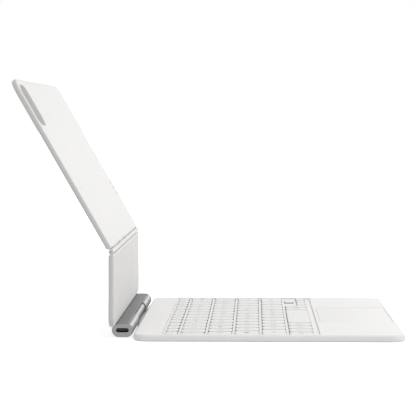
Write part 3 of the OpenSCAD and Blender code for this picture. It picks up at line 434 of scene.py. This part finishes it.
def brushed_metal(name, colour, roughness=0.3):
    """Metal brushed along X: noise that is stretched forty times along the strokes."""
    material, tree, shader = shader_nodes(name)
    shader.inputs["Metallic"].default_value = 1.0
    shader.inputs["Roughness"].default_value = roughness
    mapping = tree.nodes.new("ShaderNodeMapping")
    mapping.inputs["Scale"].default_value = (0.025, 1, 1)
    noise = tree.nodes.new("ShaderNodeTexNoise")
    noise.inputs["Scale"].default_value = 1 / (0.15 * MM)
    ramp = tree.nodes.new("ShaderNodeValToRGB")
    ramp.color_ramp.elements[0].color = (*[c * 0.85 for c in colour], 1)
    ramp.color_ramp.elements[1].color = (*colour, 1)
    bump = tree.nodes.new("ShaderNodeBump")
    bump.inputs["Distance"].default_value = 0.004 * MM
    tree.links.new(object_coordinates(tree), mapping.inputs["Vector"])
    tree.links.new(mapping.outputs["Vector"], noise.inputs["Vector"])
    tree.links.new(noise.outputs["Fac"], ramp.inputs["Fac"])
    tree.links.new(ramp.outputs["Color"], shader.inputs["Base Color"])
    tree.links.new(noise.outputs["Fac"], bump.inputs["Height"])
    tree.links.new(bump.outputs["Normal"], shader.inputs["Normal"])
    return material


def etched_glass(name, colour):
    """White glass with an etched, silky top."""
    material, tree, shader = shader_nodes(name)
    shader.inputs["Roughness"].default_value = 0.42
    shader.inputs["Specular IOR Level"].default_value = 0.5
    shader.inputs["Coat Weight"].default_value = 0.15
    shader.inputs["Coat Roughness"].default_value = 0.35
    add_mottle(tree, shader, colour, 30 * MM, 0.006)
    add_grain(tree, shader, 0.08 * MM, 0.0008 * MM)
    return material


def shaded_plastic(name, colour, wall, top):
    """Moulded plastic with painted shade on its walls: the colour goes from the wall's darker
    shade to the top's between half and an eighth of a millimetre under the top."""
    material = moulded_plastic(name, colour, 0.45)
    tree = material.node_tree
    shader = tree.nodes["Principled BSDF"]
    apart = tree.nodes.new("ShaderNodeSeparateXYZ")
    tree.links.new(object_coordinates(tree), apart.inputs[0])
    # Painted shade: the wall colour below the top fades into the top's colour.
    rise = tree.nodes.new("ShaderNodeMapRange")
    rise.inputs["From Min"].default_value = top - 0.5 * MM
    rise.inputs["From Max"].default_value = top - 0.125 * MM
    tree.links.new(apart.outputs["Z"], rise.inputs["Value"])
    mix_under(tree, shader, wall, rise.outputs["Result"])
    return material


def soft_rubber(name, colour):
    """Dull rubber with a faint bloom."""
    material, tree, shader = shader_nodes(name)
    shader.inputs["Roughness"].default_value = 0.75
    shader.inputs["Sheen Weight"].default_value = 0.15
    add_mottle(tree, shader, colour, 3 * MM, 0.05)
    add_grain(tree, shader, 0.15 * MM, 0.003 * MM)
    return material


def solder_mask(name, colour):
    """Circuit board: lacquer over traces, drawn as square cells in two tones."""
    material, tree, shader = shader_nodes(name)
    shader.inputs["Roughness"].default_value = 0.3
    shader.inputs["Coat Weight"].default_value = 0.4
    cells = tree.nodes.new("ShaderNodeTexVoronoi")
    cells.distance = "CHEBYCHEV"
    cells.inputs["Scale"].default_value = 1 / (2.2 * MM)
    ramp = tree.nodes.new("ShaderNodeValToRGB")
    ramp.color_ramp.interpolation = "CONSTANT"
    ramp.color_ramp.elements[0].color = (*colour, 1)
    ramp.color_ramp.elements[1].position = 0.42
    ramp.color_ramp.elements[1].color = (*[min(c * 1.7, 1) for c in colour], 1)
    tree.links.new(object_coordinates(tree), cells.inputs["Vector"])
    tree.links.new(cells.outputs["Distance"], ramp.inputs["Fac"])
    tree.links.new(ramp.outputs["Color"], shader.inputs["Base Color"])
    return material


def dress(material, *nodes):
    """Gives CAD nodes a finish."""
    for node in nodes:
        slots = NODES[node].data.materials
        slots.clear()
        slots.append(material)


class CASE_OT_finishes(bpy.types.Operator):
    """Gives each CAD node its finish"""

    bl_idname = "case.finishes"
    bl_label = "Finishes"

    def execute(self, context):
        finish = context.scene.case_finish
        deck = soft_coating("deck_coating", finish.deck)
        dress(deck, "base_bottom_cover", "base_top_cover")
        # The outer skins' side edges carry painted shade.
        dress(side_shaded_coating("outer_coating_side_shade", finish.outer, finish.edge), "upper_outer_skin",
              "lower_outer_skin")
        # The inner colour carries painted shade, as on the panels' inner faces.
        dress(soft_coating("inner_coating_painted_shade", finish.inner), "upper_inner_skin", "lower_inner_skin",
              "contact_pad")
        dress(soft_coating("crease_coating_painted_shade", finish.inner), "crease_leaf_lower",
              "crease_leaf_upper")
        dress(etched_glass("trackpad_glass_etched", finish.trackpad), "trackpad_glass")
        dress(blasted_metal("barrel_anodised", finish.barrel), "barrel_cap_left",
              "barrel_cap_right", "hinge_knuckle")
        dress(tube_metal_with_slit_shade("tube_anodised_slit_shade", finish.barrel, finish.tube_slit_shade, finish.tube_ends_lighter_painted_shade),
              "barrel_tube")
        dress(blasted_metal("housing_cast", (0.35, 0.35, 0.36), 0.5), "hinge_housings")
        dress(brushed_metal("frame_steel", (0.50, 0.50, 0.51)), "base_frame", "trackpad_springs")
        dress(brushed_metal("hinge_steel", (0.30, 0.30, 0.31)), "hinge_leaf", "hinge_shafts",
              "friction_clips", "leaf_screws", "crease_pin")
        dress(blasted_metal("port_plated", (0.42, 0.42, 0.43), 0.2), "port_shell")
        dress(blasted_metal("magnet_plated", (0.45, 0.45, 0.46), 0.25), "deck_magnets",
              "upper_magnets")
        dress(blasted_metal("contact_gold", (0.80, 0.58, 0.25), 0.2), "contact_pins")
        dress(moulded_plastic("dark_plastic", (0.035, 0.035, 0.037)), "port_holder",
              "click_switch")
        dress(moulded_plastic("seal_plastic", (0.10, 0.10, 0.105), 0.7), "barrel_seal")
        dress(moulded_plastic("tongue_plastic", (0.10, 0.10, 0.105)), "port_tongue")
        dress(moulded_plastic("core_board", (0.38, 0.38, 0.36), 0.7), "upper_core", "lower_core")
        dress(moulded_plastic("light_film", (0.85, 0.85, 0.78), 0.35), "light_sheet")
        dress(moulded_plastic("switch_film", (0.05, 0.05, 0.052), 0.4), "switch_sheet")
        dress(moulded_plastic("link_plastic", (0.70, 0.70, 0.69), 0.35), "key_links")
        dress(moulded_plastic("cable_film", (0.45, 0.20, 0.05), 0.35), "cable_lower",
              "cable_upper")
        dress(soft_rubber("dome_rubber", (0.60, 0.60, 0.59)), "key_domes")
        dress(solder_mask("board_lacquer", (0.01, 0.07, 0.035)), "trackpad_board", "control_board")
        return {"FINISHED"}


# ---- Key caps ------------------------------------------------------------------------------


def triangles_of(node):
    """Corners of a CAD node's triangles."""
    mesh = NODES[node].data
    points = np.empty(len(mesh.vertices) * 3, np.float32)
    mesh.vertices.foreach_get("co", points)
    corners = np.empty(len(mesh.loops), np.int32)
    mesh.loops.foreach_get("vertex_index", corners)
    return points.reshape(-1, 3).astype(float)[corners].reshape(-1, 3, 3)


def solid_spans(node):
    """Lowest and highest corner of each of a node's solids, left to right. Triangles are sorted
    by their low side in X, and a solid ends where the furthest reach so far falls short of the
    next triangle."""
    triangles = triangles_of(node)
    low, high = triangles[:, :, 0].min(1), triangles[:, :, 0].max(1)
    order = np.argsort(low)
    reach = np.maximum.accumulate(high[order])
    cuts = np.nonzero(low[order][1:] > reach[:-1] + SOLID_GAP)[0]
    starts = np.r_[low[order][0], low[order][cuts + 1]]
    ends = np.r_[reach[cuts], reach[-1]]
    below, above = triangles.min((0, 1)), triangles.max((0, 1))
    return [(np.r_[a, below[1:]], np.r_[b, above[1:]]) for a, b in zip(starts, ends)]


def solids_under(node, spans):
    """Points and triangles of those solids of a node whose triangles have their middles under
    caps. Triangles that shrink to a line as their corners merge are dropped."""
    triangles = triangles_of(node)
    middles = triangles.mean(1)[:, :2]
    under = np.zeros(len(middles), bool)
    for low, high in spans:
        under |= ((middles > low[:2]) & (middles < high[:2])).all(1)
    corners = triangles[under].reshape(-1, 3)
    points, faces = merged(corners, np.arange(len(corners)).reshape(-1, 3))
    return points, [face for face in faces if len(set(face)) == 3]


def cell_of(low, high, keys):
    """Lowest and highest corner of a cap's cell: the cap's, half of the free space outwards."""
    out = np.array([keys.free / 2, keys.free / 2, 0])
    return low - out, high + out


def web_frame(low, high, foot, top, keys):
    """Part of the web round a cap: a sharp outer ring and a rounded inner one, half a rib inside
    it, joined over the top, down the opening, underneath and up the outside."""
    half, centre = (high - low) / 2, (high + low) / 2
    outer, inner = (0, 0), (keys.web_corner + keys.rib / 2, keys.rib / 2)
    steps = keys.corner_steps
    rings = [ring(half[0], half[1], radius, inset, z, steps) + [*centre[:2], 0]
             for (radius, inset), z in ((outer, top), (inner, top), (inner, foot), (outer, foot))]
    return loft(rings, hollow=True)


def block(x0, x1, y0, y1, foot, top, radii=0):
    """Plate between four sides, with the radii of its corners."""
    half, centre = ((x1 - x0) / 2, (y1 - y0) / 2), ((x1 + x0) / 2, (y1 + y0) / 2, 0)
    return loft([ring(*half, radii, 0, z, WEB_STEPS) + centre for z in (foot, top)])


def key_shape(low, high, keys):
    """Cap as a loft: out along the ceiling, down the inner wall, under the rim, up the outer wall,
    round the edge and in over the dished top. The top sinks with a cosine from its edge."""
    half = (high - low + keys.free - keys.rib) / 2 - keys.slit
    centre = (high + low) / 2
    deepest = min(half[0], half[1]) - keys.edge
    top, foot = high[2], low[2]
    ceiling = top - keys.roof
    steps = keys.corner_steps
    turn = np.linspace(0, math.pi / 2, 5)
    profile = [(deepest, ceiling), (keys.wall, ceiling), (keys.wall, foot), (RIM_CHAMFER, foot),
               (0, foot + RIM_CHAMFER)]
    profile += [(keys.edge * (1 - math.cos(a)), top - keys.edge * (1 - math.sin(a))) for a in turn]
    for share in (0.25, 0.5, 0.75, 1.0):
        inset = keys.edge + (deepest - keys.edge) * share
        profile.append((inset, top - keys.dish * (1 - math.cos(math.pi * share)) / 2))
    rings = [ring(half[0], half[1], keys.corner, inset, z, steps) + [*centre[:2], 0]
             for inset, z in profile]
    return loft(rings)


def sign_shape(text, height, thickness):
    """Thin solid of a sign, about its own centre and a height tall for a capital letter."""
    curve = bpy.data.curves.new("sign", "FONT")
    curve.body = text
    curve.align_x = "CENTER"
    curve.align_y = "CENTER"
    curve.resolution_u = 2
    curve.size = height * FONT_SIZE
    curve.extrude = thickness / 2
    holder = bpy.data.objects.new("sign", curve)
    bpy.context.scene.collection.objects.link(holder)
    bpy.context.view_layer.update()
    mesh = bpy.data.meshes.new_from_object(holder.evaluated_get(
        bpy.context.evaluated_depsgraph_get()))
    points = np.empty(len(mesh.vertices) * 3, np.float32)
    mesh.vertices.foreach_get("co", points)
    faces = [list(p.vertices) for p in mesh.polygons]
    bpy.data.objects.remove(holder)
    bpy.data.curves.remove(curve)
    bpy.data.meshes.remove(mesh)
    return merged(points.reshape(-1, 3).astype(float), faces)


class CASE_OT_web(bpy.types.Operator):
    """Makes the web between the key caps"""

    bl_idname = "case.web"
    bl_label = "Web"

    def execute(self, context):
        finish, keys = context.scene.case_finish, context.scene.case_keys
        low, high = (np.array(corner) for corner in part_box("key_web"))
        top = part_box("key_space")[1][2] - keys.web_drop
        foot = top - keys.web_depth
        cells = {node: [cell_of(a, b, keys) for a, b in solid_spans(node)] for node in LEGENDS}
        shapes = [web_frame(a, b, foot, top, keys) for group in cells.values() for a, b in group]
        # The strips in front of and behind the caps, and the plain places behind two arrow keys
        front = min(a[1] for group in cells.values() for a, b in group)
        back = max(b[1] for group in cells.values() for a, b in group)
        back_r = high[1] - back
        shapes.append(block(low[0], high[0], low[1], front, foot, top,
                            (0, 0, keys.web_outer, keys.web_outer)))
        shapes.append(block(low[0], high[0], back, high[1], foot, top, (back_r, back_r, 0, 0)))
        row_back = cells["key_arrow_up"][0][1][1]
        for node in ("key_arrow_left", "key_arrow_right"):
            a, b = cells[node][0]
            shapes.append(block(a[0], b[0], b[1], row_back, foot, top))
        # The skirt round the web, down to the frame
        half, centre = (high - low) / 2, (high + low) / 2
        skirt = [ring(half[0], half[1], keys.web_outer, inset, z, WEB_STEPS) + [*centre[:2], 0]
                 for inset, z in ((0, low[2]), (0, foot), (keys.web_wall, foot),
                                  (keys.web_wall, low[2]))]
        shapes.append(loft(skirt, hollow=True))
        # The web's opening walls carry painted shade.
        web = new_piece("key_web_ribs", *joined(shapes),
                        shaded_plastic("web_plastic_wall_shade", finish.web, finish.web_wall, top),
                        BODY_OF["key_web"])
        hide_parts("key_web")
        return {"FINISHED"}


class CASE_OT_keys(bpy.types.Operator):
    """Makes the key caps and their signs"""

    bl_idname = "case.keys"
    bl_label = "Keys"

    def execute(self, context):
        finish, keys = context.scene.case_finish, context.scene.case_keys
        # The caps' sides carry painted shade, from the skirt colour below the top.
        cap_plastic_with_wall_shade = shaded_plastic("key_plastic_wall_shade", finish.keys, finish.skirt,
                                    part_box("key_space")[1][2])
        sign_finish = moulded_plastic("sign_ink", finish.legend, 0.6)
        for node, signs in LEGENDS.items():
            spans = solid_spans(node)
            if len(spans) != len(signs):
                raise RuntimeError(f"{node} has {len(spans)} caps and {len(signs)} signs")
            body = BODY_OF[node]
            caps = new_piece(f"{node}_caps", *joined([key_shape(a, b, keys) for a, b in spans]),
                             cap_plastic_with_wall_shade, body)
            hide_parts(node)
            inked = []
            for (low, high), sign in zip(spans, signs):
                if not sign:
                    continue
                shallow = high[1] - low[1] < SHALLOW_KEY
                height = keys.sign_height * (SHALLOW_SIGN if shallow else 1)
                points, faces = sign_shape(sign, height, keys.sign_thickness)
                if not len(points):
                    raise RuntimeError(f"the font has no sign {sign}")
                place = [*((low + high) / 2)[:2], high[2] - keys.dish * SIGN_DEPTH]
                inked.append((points + place, faces))
            if inked:
                printed = new_piece(f"{node}_signs", *joined(inked), sign_finish, body)
        return {"FINISHED"}


class CASE_OT_switches(bpy.types.Operator):
    """Makes the domes and the links under the key caps, each riding with its node's body; on the
    real case they fold as a key is pressed
    """

    bl_idname = "case.switches"
    bl_label = "Domes and links"

    def execute(self, context):
        finishes = {"key_domes": ("domes", "dome_rubber"), "key_links": ("links", "link_plastic")}
        for node in LEGENDS:
            spans = solid_spans(node)
            for group, (word, finish) in finishes.items():
                points, faces = solids_under(group, spans)
                if not faces:
                    raise RuntimeError(f"{group} has nothing under {node}")
                piece = new_piece(f"{node}_{word}", points, faces, bpy.data.materials[finish],
                                  BODY_OF[group])
                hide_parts(group)
                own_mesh(piece)
        return {"FINISHED"}


# ---- Studio --------------------------------------------------------------------------------


def camera_white(tree):
    """One where the camera looks, straight, off gloss or through glass, and nought elsewhere."""
    path = tree.nodes.new("ShaderNodeLightPath").outputs
    either = maths(tree, "MAXIMUM", path["Is Camera Ray"], path["Is Glossy Ray"])
    return maths(tree, "MAXIMUM", either, path["Is Transmission Ray"])


class CASE_OT_stage(bpy.types.Operator):
    """Makes the floor, the lamps, the sky and the camera"""

    bl_idname = "case.stage"
    bl_label = "Stage"

    def execute(self, context):
        stage = context.scene.case_stage
        self.make_camera(stage)
        self.make_floor(stage)
        self.make_sky(stage)
        self.make_lamp("front_lamp", stage.front_place, (0, 0, 0), stage.front_size,
                       stage.front_light)
        self.make_lamp("rim_lamp", stage.rim_place, (0, 0.05, 0), stage.rim_size, stage.rim_light)
        context.scene.view_settings.view_transform = "Standard"
        return {"FINISHED"}

    def make_camera(self, stage):
        data = bpy.data.cameras.new("camera")
        data.lens = stage.lens
        data.sensor_width = 36
        data.clip_end = 100
        camera = bpy.data.objects.new("camera", data)
        bpy.context.scene.collection.objects.link(camera)
        level = math.cos(stage.dip)
        forward = Vector((level * math.cos(stage.turn), level * math.sin(stage.turn),
                          -math.sin(stage.dip)))
        camera.location = stage.camera
        camera.rotation_euler = forward.to_track_quat("-Z", "Y").to_euler()
        bpy.context.scene.camera = camera

    def make_floor(self, stage):
        half = stage.floor_half
        corners = [(-half, -half, 0), (half, -half, 0), (half, half, 0), (-half, half, 0)]
        mesh = bpy.data.meshes.new("floor")
        mesh.from_pydata(corners, [], [(0, 1, 2, 3)])
        floor = bpy.data.objects.new("floor", mesh)
        bpy.context.scene.collection.objects.link(floor)
        material, tree, shader = shader_nodes("floor_paper")
        shader.inputs["Base Color"].default_value = (0.86, 0.86, 0.86, 1)
        shader.inputs["Roughness"].default_value = 0.9
        shader.inputs["Specular IOR Level"].default_value = 0.1
        shader.inputs["Emission Color"].default_value = (1, 1, 1, 1)
        # The paper glows to the camera: by near_glow under the case, and fully far from it
        distance = tree.nodes.new("ShaderNodeVectorMath")
        distance.operation = "LENGTH"
        tree.links.new(object_coordinates(tree), distance.inputs[0])
        glow = tree.nodes.new("ShaderNodeMapRange")
        glow.inputs["From Min"].default_value = stage.near_reach
        glow.inputs["From Max"].default_value = stage.far_reach
        glow.inputs["To Min"].default_value = stage.near_glow
        glow.inputs["To Max"].default_value = 1.0
        tree.links.new(distance.outputs["Value"], glow.inputs["Value"])
        seen = maths(tree, "MULTIPLY", camera_white(tree), glow.outputs["Result"])
        tree.links.new(seen, shader.inputs["Emission Strength"])
        mesh.materials.append(material)

    def make_sky(self, stage):
        world = bpy.data.worlds.new("studio")
        bpy.context.scene.world = world
        world.use_nodes = True
        tree = world.node_tree
        background = tree.nodes["Background"]
        background.inputs["Color"].default_value = (1, 1, 1, 1)
        strength = tree.nodes.new("ShaderNodeMapRange")
        strength.inputs["To Min"].default_value = stage.sky
        strength.inputs["To Max"].default_value = 1.0
        tree.links.new(camera_white(tree), strength.inputs["Value"])
        tree.links.new(strength.outputs["Result"], background.inputs["Strength"])

    def make_lamp(self, name, place, target, size, power):
        data = bpy.data.lights.new(name, "AREA")
        data.shape = "DISK"
        data.size = size
        data.energy = power
        lamp = bpy.data.objects.new(name, data)
        bpy.context.scene.collection.objects.link(lamp)
        lamp.location = place
        aim = Vector(target) - Vector(place)
        lamp.rotation_euler = aim.to_track_quat("-Z", "Y").to_euler()


class CASE_PT_panel(bpy.types.Panel):
    """Sizes and colours of the case, and its steps"""

    bl_label = "Tablet keyboard case"
    bl_idname = "CASE_PT_panel"
    bl_space_type = "VIEW_3D"
    bl_region_type = "UI"
    bl_category = "Case"

    def draw(self, context):
        layout = self.layout
        for name in ("case_finish", "case_keys", "case_stage"):
            group = getattr(context.scene, name)
            box = layout.box()
            box.label(text=group.bl_rna.description)
            for prop in group.bl_rna.properties:
                if prop.identifier not in ("rna_type", "name"):
                    box.prop(group, prop.identifier)
        for operator in STEPS:
            layout.operator(operator.bl_idname)


STEPS = (CASE_OT_stage, CASE_OT_finishes, CASE_OT_web, CASE_OT_keys, CASE_OT_switches)
GROUPS = {"case_finish": CaseFinish, "case_keys": CaseKeys, "case_stage": CaseStage}


def register():
    for name, group in GROUPS.items():
        bpy.utils.register_class(group)
        setattr(bpy.types.Scene, name, PointerProperty(type=group))
    for operator in STEPS:
        bpy.utils.register_class(operator)
    bpy.utils.register_class(CASE_PT_panel)


def unregister():
    bpy.utils.unregister_class(CASE_PT_panel)
    for operator in reversed(STEPS):
        bpy.utils.unregister_class(operator)
    for name, group in GROUPS.items():
        delattr(bpy.types.Scene, name)
        bpy.utils.unregister_class(group)


def main():
    register()
    bpy.ops.case.stage()
    bpy.ops.case.finishes()
    bpy.ops.case.web()
    bpy.ops.case.keys()
    bpy.ops.case.switches()


if __name__ == "__main__":
    main()
